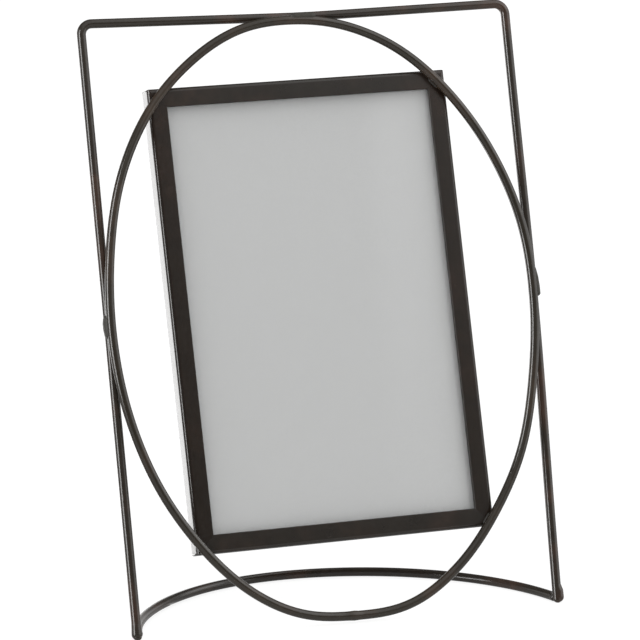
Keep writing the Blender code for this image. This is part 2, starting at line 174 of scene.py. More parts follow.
def piece(name, solid, material, body, slot, *nodes, sharp=35):
    """A finished piece of the frame, standing for one or more nodes. Its flat faces are shaded flat."""
    bmesh.ops.recalc_face_normals(solid, faces=solid.faces)
    mesh = bpy.data.meshes.new(name)
    solid.to_mesh(mesh)
    solid.free()
    mesh.materials.append(material)
    mesh.shade_smooth()
    mesh.set_sharp_from_angle(angle=radians(sharp))
    made = bpy.data.objects.new(name, mesh)
    bpy.context.scene.collection.objects.link(made)
    flats = made.modifiers.new("flats", 'WEIGHTED_NORMAL')
    flats.keep_sharp = True
    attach(made, body)
    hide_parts(*nodes)
    return made


def node_group(name, inputs, outputs):
    """An empty shader group with named float, colour and vector sockets."""
    group = bpy.data.node_groups.new(name, 'ShaderNodeTree')
    for direction, sockets in (('INPUT', inputs), ('OUTPUT', outputs)):
        for label, kind, default in sockets:
            socket = group.interface.new_socket(label, in_out=direction, socket_type='NodeSocket' + kind)
            if default is not None:
                socket.default_value = default
    return group, group.nodes.new('NodeGroupInput'), group.nodes.new('NodeGroupOutput')


def feed(tree, socket, value):
    """Links a node's output to a socket, or sets a plain number or colour there."""
    if isinstance(value, bpy.types.NodeSocket):
        tree.links.new(value, socket)
    elif isinstance(value, tuple):
        socket.default_value = (*value, 1)
    else:
        socket.default_value = value


def noise_node(tree, place, scale, detail, roughness=0.5):
    """Noise from 0 to 1 over a place."""
    node = tree.nodes.new('ShaderNodeTexNoise')
    node.inputs["Scale"].default_value = scale
    node.inputs["Detail"].default_value = detail
    node.inputs["Roughness"].default_value = roughness
    tree.links.new(place, node.inputs["Vector"])
    return node.outputs["Fac"]


def range_node(tree, value, from_min, from_max, to_min=0.0, to_max=1.0):
    """Takes a value from one range to another, clamped and smooth at its ends."""
    node = tree.nodes.new('ShaderNodeMapRange')
    node.interpolation_type = 'SMOOTHSTEP'
    for label, number in (("From Min", from_min), ("From Max", from_max), ("To Min", to_min), ("To Max", to_max)):
        node.inputs[label].default_value = number
    tree.links.new(value, node.inputs["Value"])
    return node.outputs["Result"]


def math_node(tree, operation, first, second):
    node = tree.nodes.new('ShaderNodeMath')
    node.operation = operation
    for socket, value in zip(node.inputs, (first, second)):
        feed(tree, socket, value)
    return node.outputs[0]


# The numbers of a mix node's two input sockets and its output socket, for plain values and for colours.
MIX_SOCKETS = {'FLOAT': (2, 3, 0), 'RGBA': (6, 7, 2)}


def mix_node(tree, factor, first, second, kind='RGBA'):
    """From the first of two colours to the second, or from one plain value to another if that is the kind."""
    node = tree.nodes.new('ShaderNodeMix')
    node.data_type = kind
    one, two, mixed = MIX_SOCKETS[kind]
    for number, value in ((0, factor), (one, first), (two, second)):
        feed(tree, node.inputs[number], value)
    return node.outputs[mixed]


def bronze_patina_group():
    """Dark lacquer rubbed through to coppery brown in patches, with a faint orange peel."""
    group, given, result = node_group(
        "bronze_patina",
        [("Place", 'Vector', None), ("Dark", 'Color', None), ("Copper", 'Color', None),
         ("Rubbed", 'Float', 0.5), ("Roughness", 'Float', 0.3)],
        [("Color", 'Color', None), ("Roughness", 'Float', None), ("Height", 'Float', None)])
    place = given.outputs["Place"]
    broad = range_node(group, noise_node(group, place, scale=48, detail=2), 0.45, 0.66)
    mottle = noise_node(group, place, scale=240, detail=3)
    patchy = math_node(group, 'MULTIPLY', broad, range_node(group, mottle, 0.3, 0.7, 0.6, 1.0))
    copper = math_node(group, 'MULTIPLY', patchy, given.outputs["Rubbed"])
    base = mix_node(group, copper, given.outputs["Dark"], given.outputs["Copper"])
    shade = range_node(group, mottle, 0.25, 0.75, 0.9, 1.1)
    shaded = group.nodes.new('ShaderNodeVectorMath')
    shaded.operation = 'SCALE'
    group.links.new(base, shaded.inputs[0])
    group.links.new(shade, shaded.inputs["Scale"])
    group.links.new(shaded.outputs["Vector"], result.inputs["Color"])
    grain = range_node(group, noise_node(group, place, scale=900, detail=3), 0.3, 0.7, -0.03, 0.03)
    group.links.new(math_node(group, 'ADD', given.outputs["Roughness"], grain), result.inputs["Roughness"])
    group.links.new(noise_node(group, place, scale=1100, detail=2), result.inputs["Height"])
    return group


def new_material(name):
    """A material with its Principled shader, and Object coordinates to draw on."""
    material = bpy.data.materials.new(name)
    material.use_nodes = True
    tree = material.node_tree
    coordinates = tree.nodes.new('ShaderNodeTexCoord')
    return material, tree, tree.nodes["Principled BSDF"], coordinates.outputs["Object"]


def bump(tree, shader, height, distance):
    """Lets a height from 0 to 1 stand off a shader's surface by a distance."""
    node = tree.nodes.new('ShaderNodeBump')
    node.inputs["Distance"].default_value = distance
    tree.links.new(height, node.inputs["Height"])
    tree.links.new(node.outputs["Normal"], shader.inputs["Normal"])


bronze_patina = bronze_patina_group()


def bronze(name, dark, copper, rubbed, roughness, peel=0.000002):
    """Bronze lacquer over steel, rubbed to copper by a share, with orange peel of a depth."""
    material, tree, shader, place = new_material(name)
    patina = tree.nodes.new('ShaderNodeGroup')
    patina.node_tree = bronze_patina
    patina.inputs["Dark"].default_value = (*dark, 1)
    patina.inputs["Copper"].default_value = (*copper, 1)
    patina.inputs["Rubbed"].default_value = rubbed
    patina.inputs["Roughness"].default_value = roughness
    tree.links.new(place, patina.inputs["Place"])
    tree.links.new(patina.outputs["Color"], shader.inputs["Base Color"])
    tree.links.new(patina.outputs["Roughness"], shader.inputs["Roughness"])
    bump(tree, shader, patina.outputs["Height"], peel)
    return material


wire_bronze = bronze("wire_bronze", dark=(0.026, 0.0205, 0.015), copper=(0.064, 0.035, 0.024), rubbed=0.75,
                     roughness=0.2)
path = outer_wire_path()
outer_wire = tube("outer_wire_bent", path, [WIRE_R] * len(path), leaning)
bmesh.ops.bevel(outer_wire, geom=cut_off_at_table(outer_wire), offset=END_ROUND, segments=END_STEPS, profile=0.5,
                affect='EDGES', material=-1)
piece("outer_wire_bent", outer_wire, wire_bronze, "frame", "lacquered_wire", "outer_wire")


# The ring is the same wire bent by hand to an uneven oval. Its ends are butt-welded at the bottom, where it
# is a little flat and has a low collar of weld.
RING_HALF_W = 0.077265
RING_HALF_H = 0.103525
RING_STEPS = 288
# How far the ring stands outside a true ellipse, in mm, at every 15 degrees.
RING_SWELLS = (-0.43, 0.76, 0.40, -0.21, -0.46, -0.96, -0.93, 0.38, 0.74, 1.35, 1.05, -0.21,
               -0.68, -0.60, -0.52, -0.64, -0.04, 0.31, 0.15, 0.26, -0.63, -1.34, -0.97, -1.36)
JOINT_FLAT = 0.0013       # how far in the ring is at its joint
JOINT_ANGLE = radians(268.5)
JOINT_SPREAD = radians(12)
COLLAR_RISE = 0.00016
COLLAR_SPREAD = radians(0.9)
RING_SHIFT = -0.0008
RING_HEIGHT = 0.104098
RING_FORWARD = 2 * WIRE_R + GAP
ROLL = radians(0.97)      # how far the ring and the box are turned about their middle
# From flat work about the ring's middle to where it leans.
rolled = leaning @ Matrix.Translation((RING_SHIFT, RING_HEIGHT, 0)) @ Matrix.Rotation(ROLL, 4, 'Z')


def ring_swell(angle):
    """A smooth curve through the swells, with the flat at the joint."""
    steps = angle / (2 * pi) * len(RING_SWELLS)
    share = steps - floor(steps)
    a, b, c, d = (RING_SWELLS[(floor(steps) + offset) % len(RING_SWELLS)] for offset in (-1, 0, 1, 2))
    swell = b + share * (c - a + share * (2 * a - 5 * b + 4 * c - d + share * (3 * b - 3 * c + d - a))) / 2
    return swell / 1000 - JOINT_FLAT * exp(-((angle - JOINT_ANGLE) / JOINT_SPREAD) ** 2)


def ring_point(angle):
    """A point of the ring's centre line, about its own centre."""
    normal = Vector((RING_HALF_H * cos(angle), RING_HALF_W * sin(angle), 0)).normalized()
    return Vector((RING_HALF_W * cos(angle), RING_HALF_H * sin(angle), 0)) + ring_swell(angle) * normal


ring_bronze = bronze("ring_bronze", dark=(0.026, 0.0212, 0.015), copper=(0.054, 0.033, 0.021), rubbed=0.5,
                     roughness=0.2)
ring_angles = [2 * pi * step / RING_STEPS for step in range(RING_STEPS)]
ring_radii = [WIRE_R + COLLAR_RISE * exp(-((angle - JOINT_ANGLE) / COLLAR_SPREAD) ** 2) for angle in ring_angles]
ring = tube("ring_wire_oval", [ring_point(angle) for angle in ring_angles], ring_radii,
            rolled @ Matrix.Translation((0, 0, RING_FORWARD)), closed=True)
piece("ring_wire_oval", ring, ring_bronze, "frame", "lacquered_wire", "ring_wire")


# The base arc is a shorter piece of the wire, rolled to an arc, a little flat on its left. It lies on the
# table behind the legs, and its ends are welded to the feet.
BASE_DEPTH = 0.0629
BASE_FLAT = 0.0015        # how far in its flat is
FLAT_ANGLE = radians(138)
FLAT_SPREAD = radians(28)
ARC_STEPS = 96
arc_z = WIRE_R
foot_y = arc_z * tan(LEAN) - MIDDLE_Y
left_x = leg_x(arc_z, -1)
right_x = leg_x(arc_z, 1)
half_chord = (right_x - left_x) / 2
arc_r = (half_chord ** 2 + BASE_DEPTH ** 2) / (2 * BASE_DEPTH)
arc_centre = ((left_x + right_x) / 2, foot_y + BASE_DEPTH - arc_r)
arc_reach = acos(1 - BASE_DEPTH / arc_r) - (WIRE_R + GAP) / arc_r
arc_path = []
for step in range(ARC_STEPS + 1):
    angle = pi / 2 + arc_reach * (1 - 2 * step / ARC_STEPS)
    radius = arc_r - BASE_FLAT * exp(-((angle - FLAT_ANGLE) / FLAT_SPREAD) ** 2)
    arc_path.append(Vector((arc_centre[0] + radius * cos(angle), arc_centre[1] + radius * sin(angle), arc_z)))
base_arc = tube("base_arc_rolled", arc_path, [WIRE_R] * len(arc_path), Matrix())
piece("base_arc_rolled", base_arc, wire_bronze, "frame", "lacquered_wire", "base_arc")


# The welds are beads of fused wire metal under the same lacquer, rounder and duller than the wire. Each is
# a row of overlapping puddles, run together.
PUDDLE_VOXEL = 0.00012
EASE_ROUNDS = 12
UNEVEN = 0.00001          # how far the fused surface waves in and out
UNEVEN_SCALE = 900
weld_bronze = bronze("weld_bronze", dark=(0.029, 0.026, 0.018), copper=(0.038, 0.030, 0.021), rubbed=0.5,
                     roughness=0.62, peel=0.000004)
# A darker copy of the weld lacquer for the corner welds: painted shade for the crease inside the ring where they
# sit.
shaded_weld = bronze("shaded_weld", dark=(0.022, 0.0185, 0.0135), copper=(0.030, 0.023, 0.017), rubbed=0.5,
                   roughness=0.62, peel=0.000004)


def weld(name, lumps, place, finish=weld_bronze, on_table=False):
    """A bead of ellipsoid lumps, each a centre and half sizes, that are fused together."""
    solid = bmesh.new()
    for centre, sizes in lumps:
        lump = bmesh.ops.create_icosphere(solid, subdivisions=3, radius=1)["verts"]
        bmesh.ops.scale(solid, vec=sizes, verts=lump)
        bmesh.ops.translate(solid, vec=centre, verts=lump)
    mesh = bpy.data.meshes.new(name)
    solid.to_mesh(mesh)
    solid.free()
    holder = bpy.data.objects.new(name, mesh)
    fuse = holder.modifiers.new("fuse", 'REMESH')
    fuse.mode = 'VOXEL'
    fuse.voxel_size = PUDDLE_VOXEL
    ease = holder.modifiers.new("ease", 'SMOOTH')
    ease.iterations = EASE_ROUNDS
    solid = settled(holder)
    solid.normal_update()
    for vert in solid.verts:
        vert.co += vert.normal * UNEVEN * noise.noise(vert.co * UNEVEN_SCALE)
    bmesh.ops.transform(solid, matrix=place, verts=solid.verts)
    if on_table:
        cut_off_at_table(solid)
    piece(name + "_bead", solid, finish, "frame", "weld", name, sharp=60)


def run_between(row, shares):
    """The puddles of a row with others run in between each two of them, at shares of the way."""
    for low, high in zip(row, row[1:]):
        for share in shares:
            yield [a + (b - a) * share for a, b in zip(low, high)]


# The side welds fill the outer groove between the ring and a leg. Each puddle is given as how far up the
# weld, how proud of the leg and how long half of it is.
SIDE_FORWARD = RING_FORWARD / 2 + 0.0002
SIDE_HALF_DEPTH = 0.0021
SIDE_SHARES = (0, 0.25, 0.5, 0.75)
LEFT_BEAD_HEIGHT = 0.1056
LEFT_PUDDLES = ((-0.0024, 0.0006, 0.0016), (-0.0004, 0.00085, 0.0022), (0.0012, 0.00085, 0.0022),
                (0.0028, 0.0006, 0.0016))
RIGHT_BEAD_HEIGHT = 0.1120
RIGHT_PUDDLES = ((-0.0046, 0.0002, 0.0011), (-0.0020, 0.00015, 0.0022), (0.0010, -0.0001, 0.0026),
                 (0.0040, -0.0007, 0.0022))
for name, side, middle, half_width, row in (("left_side_weld", -1, LEFT_BEAD_HEIGHT, 0.0012, LEFT_PUDDLES),
                                            ("right_side_weld", 1, RIGHT_BEAD_HEIGHT, 0.0016, RIGHT_PUDDLES)):
    lumps = []
    for along, proud, half_length in run_between(row, SIDE_SHARES):
        height = middle + along
        x = leg_x(height, side) + side * (WIRE_R + proud - half_width)
        lumps.append(((x, height, SIDE_FORWARD), (half_width, half_length, SIDE_HALF_DEPTH)))
    weld(name, lumps, leaning)

# The top weld is a level row of like puddles, between the ring and the bar.
TOP_WELD_X = 0.0008
TOP_WELD_STEP = 0.0007
TOP_WELD_Y = BAR_HEIGHT - 0.0003
TOP_WELD_FORWARD = RING_FORWARD / 2 + 0.0020
TOP_PUDDLE = (0.0020, 0.0014, 0.0014)
weld("top_weld", [((TOP_WELD_X + step * TOP_WELD_STEP, TOP_WELD_Y, TOP_WELD_FORWARD), TOP_PUDDLE)
                  for step in range(-4, 5)], leaning)

# The corner welds are low fillets inside the ring, where it crosses the box's mitres.
# Their darker lacquer is painted shade for the crease between the ring and the box's face.
BOX_W = 0.10825
BOX_H = 0.15905
BOX_SHIFT = -0.0003
BOX_RISE = 0.0029
FACE_FORWARD = RING_FORWARD - WIRE_R - GAP
CROSSING_TRIES = 500
TANGENT_STEP = 0.01
FILLET_INWARD = 0.0007
FILLET_FORWARD = FACE_FORWARD + 0.0004
FILLET_ALONG = (-0.0013, -0.0004, 0.0004, 0.0013)
FILLET_PUDDLE = (0.0011, 0.0011, 0.0008)


def crossing(quadrant):
    """The ring's angle where it crosses the mitre in one quarter of the box."""
    def off_mitre(angle):
        point = ring_point(angle)
        return abs((BOX_W / 2 - abs(point.x - BOX_SHIFT)) - (BOX_H / 2 - abs(point.y - BOX_RISE)))
    return min((pi / 2 * (quadrant + step / CROSSING_TRIES) for step in range(CROSSING_TRIES)), key=off_mitre)


for quadrant, corner in enumerate(("top_right", "top_left", "bottom_left", "bottom_right")):
    angle = crossing(quadrant)
    point = ring_point(angle)
    tangent = (ring_point(angle + TANGENT_STEP) - point).normalized()
    inward = Vector((-tangent.y, tangent.x, 0))
    lumps = []
    for along in FILLET_ALONG:
        centre = point + inward * FILLET_INWARD + tangent * along
        centre.z = FILLET_FORWARD
        lumps.append((centre, FILLET_PUDDLE))
    weld(corner + "_weld", lumps, rolled, finish=shaded_weld)

# Each foot has a long swelling around the wire's end, and a web in to the base arc. A puddle of the swelling
# is given as how far up and how far out it is and its size, and one of the web as how far in, how far back
# and how far up it is and its size.
FOOT_SHARES = [step / 8 for step in range(9)]
LEFT_SWELLING = ((0.0020, 0.0001, 0.0018), (0.0080, 0, 0.0015))
RIGHT_SWELLING = ((0.0019, 0.0006, 0.0018), (0.0040, 0.0006, 0.00178), (0.0068, 0, 0.0015))
WEB = ((0.0008, 0.0015, 0.0014, 0.0013), (0.0012, 0.0022, 0.0017, 0.0010), (0.0011, 0.0010, 0.0030, 0.0009))
upright = leaning.inverted()
for name, side, foot_x, row in (("left_foot_weld", -1, left_x, LEFT_SWELLING),
                                ("right_foot_weld", 1, right_x, RIGHT_SWELLING)):
    lumps = [((foot_x + side * out, height, 0), (size, size, size))
             for height, out, size in run_between(row, FOOT_SHARES)]
    lumps += [(upright @ Vector((foot_x - side * inward, foot_y + back, up)), (size, size, size))
              for inward, back, up, size in WEB]
    weld(name, lumps, leaning, finish=wire_bronze, on_table=True)


# The picture box is four mitred members of folded sheet steel under the same lacquer, duller on the edge of
# the opening. The face is hemmed double there, the wall turns back from it, and the rear edge turns in to
# the lip that the buttons lock under.
FACE_OVERLAP = 0.003175   # how far the face covers the picture at each edge
BORDER = 0.0065
SHEET = 0.0007
HEM_W = 0.0026
HEM_THICK = 2 * SHEET
FACE_ROUND = 0.0014
HEM_ROUND = 0.0003
BACK_ROUND = 0.0010
CORNER_ROUND = 0.0009
CORNER_CUTS = range(50, 90, 8)      # which way a member's cuts that round a corner face, in degrees
BOX_DEPTH = 0.0069
LIP_DEPTH = BOX_DEPTH - SHEET
LIFT_GAP = 0.0004         # between the lip and the sheets that go in past it
LIP_REACH = BORDER - FACE_OVERLAP - LIFT_GAP
MITRE_GAP = 0.00002
# From flat work about the middle of the box's face to where it leans.
boxed = rolled @ Matrix.Translation((BOX_SHIFT, BOX_RISE, FACE_FORWARD))
rail_bronze = bronze("rail_bronze", dark=(0.0187, 0.0150, 0.0116), copper=(0.0315, 0.0195, 0.0138), rubbed=0.6,
                     roughness=0.22)
stile_bronze = bronze("stile_bronze", dark=(0.0145, 0.0096, 0.0062), copper=(0.0260, 0.0145, 0.0095), rubbed=0.6,
                      roughness=0.22)
dull_edge = bronze("dull_edge", dark=(0.0175, 0.0128, 0.0092), copper=(0.030, 0.0175, 0.0125), rubbed=0.6,
                   roughness=0.65)


def folded_section():
    """The folded sheet cut across, as insets from its outer wall and depths from its face."""
    corners = [(0, 0), (BORDER, 0), (BORDER, HEM_THICK), (BORDER - HEM_W, HEM_THICK), (BORDER - HEM_W, SHEET),
               (SHEET, SHEET), (SHEET, LIP_DEPTH), (LIP_REACH, LIP_DEPTH), (LIP_REACH, BOX_DEPTH), (0, BOX_DEPTH)]
    # The bends among them, with the radius and the number of steps of each.
    bends = {0: (FACE_ROUND, 10), 1: (HEM_ROUND, 4), 2: (HEM_ROUND, 4), 5: (FACE_ROUND - SHEET, 5),
             9: (BACK_ROUND, 5)}
    section = []
    for number, corner in enumerate(corners):
        if number not in bends:
            section.append(corner)
            continue
        radius, steps = bends[number]
        here = Vector(corner)
        before = Vector(corners[number - 1])
        after = Vector(corners[(number + 1) % len(corners)])
        to_before = (before - here).normalized() * radius
        to_after = (after - here).normalized() * radius
        middle = here + to_before + to_after
        for step in range(steps + 1):
            turned = pi / 2 * step / steps
            section.append(tuple(middle - to_after * cos(turned) - to_before * sin(turned)))
    return section


def member(length, reach, turn):
    """A member with its outer wall at the reach above the box's centre, then turned into place."""
    solid = bmesh.new()
    end = solid.faces.new([solid.verts.new((-1, reach - inset, -depth)) for inset, depth in folded_section()])
    swept = bmesh.ops.extrude_face_region(solid, geom=[end], use_keep_orig=True)
    for item in swept["geom"]:
        if isinstance(item, bmesh.types.BMVert):
            item.co.x = 1
    # The ends are drawn out to the mitres, which come in as far as a point is inside the outer wall.
    for vert in solid.verts:
        vert.co.x *= length / 2 - (reach - vert.co.y) - MITRE_GAP
    for side in (-1, 1):
        middle = Vector((side * (length / 2 - CORNER_ROUND), reach - CORNER_ROUND, 0))
        for angle in CORNER_CUTS:
            outward = Vector((side * cos(radians(angle)), sin(radians(angle)), 0))
            cut_off(solid, middle + outward * CORNER_ROUND, outward)
    bmesh.ops.remove_doubles(solid, verts=solid.verts, dist=JOIN_WITHIN)
    for face in solid.faces:
        if all(vert.co.y < reach - BORDER + HEM_ROUND for vert in face.verts):
            face.material_index = 1
    bmesh.ops.transform(solid, matrix=boxed @ Matrix.Rotation(turn, 4, 'Z'), verts=solid.verts)
    return solid


for name, length, reach, turn, finish in (("top_rail", BOX_W, BOX_H / 2, 0, rail_bronze),
                                          ("left_stile", BOX_H, BOX_W / 2, pi / 2, stile_bronze),
                                          ("bottom_rail", BOX_W, BOX_H / 2, pi, rail_bronze),
                                          ("right_stile", BOX_H, BOX_W / 2, -pi / 2, stile_bronze)):
    folded = piece(name + "_folded", member(length, reach, turn), finish, "frame", "lacquered_sheet", name,
                   sharp=50)
    folded.data.materials.append(dull_edge)


# The glazing is a pane of clear float glass with ground edges. It is laid in from the back against the hem,
# and the card and the board keep it there.
PHOTO_W = 0.1016
PHOTO_H = 0.1524
GLASS_THICK = 0.0015
GROUND_EDGE = 0.00012
GLASS_DEPTH = HEM_THICK + GAP


def sheet(thickness, depth, chamfer):
    """A sheet the size of the picture, with its front face at a depth behind the frame's face."""
    solid = bmesh.new()
    bmesh.ops.create_cube(solid, size=1)
    bmesh.ops.scale(solid, vec=(PHOTO_W, PHOTO_H, thickness), verts=solid.verts)
    bmesh.ops.bevel(solid, geom=solid.edges[:], offset=chamfer, segments=2, profile=0.5, affect='EDGES',
                    material=-1)
    bmesh.ops.transform(solid, matrix=boxed @ Matrix.Translation((0, 0, -depth - thickness / 2)),
                        verts=solid.verts)
    return solid


def clear_glass():
    """Clear glass that lets the lamps through to the picture behind it."""
    material, tree, shader, place = new_material("clear_glass")
    shader.inputs["Base Color"].default_value = (0.985, 0.995, 0.99, 1)
    shader.inputs["IOR"].default_value = 1.5
    shader.inputs["Transmission Weight"].default_value = 1
    smears = range_node(tree, noise_node(tree, place, scale=60, detail=3), 0.45, 0.8, 0.0, 0.03)
    tree.links.new(smears, shader.inputs["Roughness"])
    ray = tree.nodes.new('ShaderNodeLightPath')
    through = tree.nodes.new('ShaderNodeBsdfTransparent')
    either = math_node(tree, 'MAXIMUM', ray.outputs["Is Shadow Ray"], ray.outputs["Is Diffuse Ray"])
    pane = tree.nodes.new('ShaderNodeMixShader')
    tree.links.new(either, pane.inputs[0])
    tree.links.new(shader.outputs[0], pane.inputs[1])
    tree.links.new(through.outputs[0], pane.inputs[2])
    tree.links.new(pane.outputs[0], tree.nodes["Material Output"].inputs["Surface"])
    return material


piece("glass_sheet", sheet(GLASS_THICK, GLASS_DEPTH, GROUND_EDGE), clear_glass(), "frame", "glass",
      "glass_pane")


# The picture is a plain grey card, as it comes in the shop, with the fine tooth of paper. It lies loose
# between the glass and the board.
CARD_GREY = (0.461, 0.461, 0.461)
CARD_FIBRE = (0.489, 0.489, 0.489)
INSERT_THICK = 0.00025
INSERT_DEPTH = GLASS_DEPTH + GLASS_THICK + GAP
CUT_EDGE = 0.00003


def card_paper():
    """Matt paper with fibres a shade paler than the grey between them."""
    material, tree, shader, place = new_material("card_paper")
    fibre = noise_node(tree, place, scale=1400, detail=5, roughness=0.65)
    tree.links.new(mix_node(tree, range_node(tree, fibre, 0.3, 0.7), CARD_GREY, CARD_FIBRE),
                   shader.inputs["Base Color"])
    shader.inputs["Roughness"].default_value = 0.85
    shader.inputs["Specular IOR Level"].default_value = 0.2
    bump(tree, shader, fibre, distance=0.00002)
    return material


piece("picture_card", sheet(INSERT_THICK, INSERT_DEPTH, CUT_EDGE), card_paper(), "frame", "insert_card",
      "photo_insert")


# The board that closes the back is pressed hardboard, faced with black paper. The rivets' holes are
# drilled through it.
PAPER_BLACK = (0.017, 0.016, 0.0155)
PAPER_WORN = (0.040, 0.038, 0.036)


def black_board():
    """Black paper, with its raised fibres worn paler in clouds."""
    material, tree, shader, place = new_material("black_board")
    fibre = noise_node(tree, place, scale=700, detail=6, roughness=0.7)
    cloud = range_node(tree, noise_node(tree, place, scale=40, detail=2), 0.3, 0.7, 0.5, 1)
    worn = math_node(tree, 'MULTIPLY', range_node(tree, fibre, 0.35, 0.7), cloud)
    tree.links.new(mix_node(tree, worn, PAPER_BLACK, PAPER_WORN), shader.inputs["Base Color"])
    tree.links.new(range_node(tree, fibre, 0.3, 0.7, 0.72, 0.92), shader.inputs["Roughness"])
    bump(tree, shader, fibre, distance=0.00004)
    return material


board = frame["nodes"]["backing_board"]
board.data.materials.clear()
board.data.materials.append(black_board())


# The turn buttons are stamped from spring steel, one at the middle of each side. Each turns on its rivet,
# and its tip locks under the lip.
BOARD_THICK = 0.00105
BUTTON_THICK = 0.0005
BUTTON_R = 0.0033
BUTTON_EDGE = 0.00011
TIP_R = 0.0022
PIVOT_INSET = 0.0047
INSERT_BACK = INSERT_DEPTH + INSERT_THICK
BOARD_DEPTH = INSERT_BACK + GAP
BUTTON_DEPTH = BOARD_DEPTH + BOARD_THICK + GAP
TIP_REACH = PIVOT_INSET + BORDER - FACE_OVERLAP - SHEET - GAP
pivots = {"top": ((0, PHOTO_H / 2 - PIVOT_INSET), 0), "left": ((PIVOT_INSET - PHOTO_W / 2, 0), pi / 2),
          "bottom": ((0, PIVOT_INSET - PHOTO_H / 2), pi), "right": ((PHOTO_W / 2 - PIVOT_INSET, 0), -pi / 2)}


def steel_grain_group():
    """Rolled or turned steel: fine scratches and a cloudy polish."""
    group, given, result = node_group(
        "steel_grain",
        [("Place", 'Vector', None), ("Bright", 'Color', None), ("Dull", 'Color', None), ("Roughness", 'Float', 0.3)],
        [("Color", 'Color', None), ("Roughness", 'Float', None), ("Height", 'Float', None)])
    stretch = group.nodes.new('ShaderNodeMapping')
    stretch.inputs["Scale"].default_value = (1, 1, 0.12)
    group.links.new(given.outputs["Place"], stretch.inputs["Vector"])
    scratches = noise_node(group, stretch.outputs["Vector"], scale=5200, detail=3, roughness=0.6)
    cloud = range_node(group, noise_node(group, given.outputs["Place"], scale=420, detail=3), 0.3, 0.7)
    group.links.new(mix_node(group, cloud, given.outputs["Bright"], given.outputs["Dull"]),
                    result.inputs["Color"])
    streaks = range_node(group, scratches, 0.3, 0.7, -0.08, 0.10)
    group.links.new(math_node(group, 'ADD', given.outputs["Roughness"], streaks), result.inputs["Roughness"])
    group.links.new(scratches, result.inputs["Height"])
    return group


steel_grain = steel_grain_group()


def steel(name, bright, dull, roughness):
    """Bare steel, clouded from bright to dull."""
    material, tree, shader, place = new_material(name)
    grain = tree.nodes.new('ShaderNodeGroup')
    grain.node_tree = steel_grain
    grain.inputs["Bright"].default_value = (*bright, 1)
    grain.inputs["Dull"].default_value = (*dull, 1)
    grain.inputs["Roughness"].default_value = roughness
    tree.links.new(place, grain.inputs["Place"])
    tree.links.new(grain.outputs["Color"], shader.inputs["Base Color"])
    tree.links.new(grain.outputs["Roughness"], shader.inputs["Roughness"])
    shader.inputs["Metallic"].default_value = 1
    bump(tree, shader, grain.outputs["Height"], distance=0.000004)
    return material


spring_steel = steel("spring_steel", bright=(0.42, 0.40, 0.37), dull=(0.30, 0.285, 0.265), roughness=0.34)


def button(place):
    """A flat drop: a round end about the pivot, drawn in to a smaller round tip along +Y."""
    solid = bmesh.new()
    for radius, y in ((BUTTON_R, 0), (TIP_R, TIP_REACH - TIP_R)):
        bmesh.ops.create_cone(solid, cap_ends=True, segments=48, radius1=radius, radius2=radius,
                              depth=BUTTON_THICK, matrix=Matrix.Translation((0, y, 0)))
    hull = bmesh.ops.convex_hull(solid, input=solid.verts)
    inner = [item for item in hull["geom_interior"] + hull["geom_unused"]
             if item.is_valid and isinstance(item, bmesh.types.BMVert)]
    bmesh.ops.delete(solid, geom=inner, context='VERTS')
    bmesh.ops.dissolve_limit(solid, angle_limit=radians(1), verts=solid.verts, edges=solid.edges)
    rims = [edge for edge in solid.edges if edge.calc_face_angle(0) > radians(60)]
    bmesh.ops.bevel(solid, geom=rims, offset=BUTTON_EDGE, segments=3, profile=0.5, affect='EDGES', material=-1)
    bmesh.ops.transform(solid, matrix=place, verts=solid.verts)
    return solid


for side, ((x, y), turn) in pivots.items():
    place = boxed @ Matrix.Translation((x, y, -BUTTON_DEPTH - BUTTON_THICK / 2)) @ Matrix.Rotation(turn, 4, 'Z')
    piece(side + "_button_stamped", button(place), spring_steel, side + "_button", "button_steel",
          side + "_turn_button", sharp=50)


# The rivets are turned steel, set in the board from the front. Each has a wide tail sunk in the board, a
# shank that the button turns on, and a low domed head that keeps the button there.
SHANK_R = 0.0009
PIVOT_GAP = 0.00015
HEAD_R = 0.0019
HEAD_RISE = 0.0006
DOME_STEPS = 10
TAIL_R = 0.0014
TAIL_THICK = 0.0004
rivet_steel = steel("rivet_steel", bright=(0.62, 0.60, 0.56), dull=(0.46, 0.44, 0.41), roughness=0.24)


def rivet(place):
    """A profile spun about the shank, from the middle of the tail to the middle of the head."""
    tail = BOARD_DEPTH + PIVOT_GAP
    head = BUTTON_DEPTH + BUTTON_THICK + PIVOT_GAP
    profile = [(0, tail), (TAIL_R, tail), (TAIL_R, tail + TAIL_THICK), (SHANK_R, tail + TAIL_THICK), (SHANK_R, head)]
    for step in range(DOME_STEPS + 1):
        up = pi / 2 / DOME_STEPS * step
        profile.append((HEAD_R * cos(up), head + HEAD_RISE * sin(up)))
    solid = bmesh.new()
    verts = [solid.verts.new((radius, 0, -depth)) for radius, depth in profile]
    edges = [solid.edges.new(pair) for pair in zip(verts, verts[1:])]
    bmesh.ops.spin(solid, geom=verts + edges, cent=(0, 0, 0), axis=(0, 0, 1), angle=2 * pi, steps=48,
                   use_merge=True)
    bmesh.ops.remove_doubles(solid, verts=solid.verts, dist=JOIN_WITHIN)
    bmesh.ops.transform(solid, matrix=place, verts=solid.verts)
    return solid


for side, ((x, y), _) in pivots.items():
    piece(side + "_rivet_turned", rivet(boxed @ Matrix.Translation((x, y, 0))), rivet_steel, "frame",
          "rivet_steel", side + "_rivet", sharp=40)
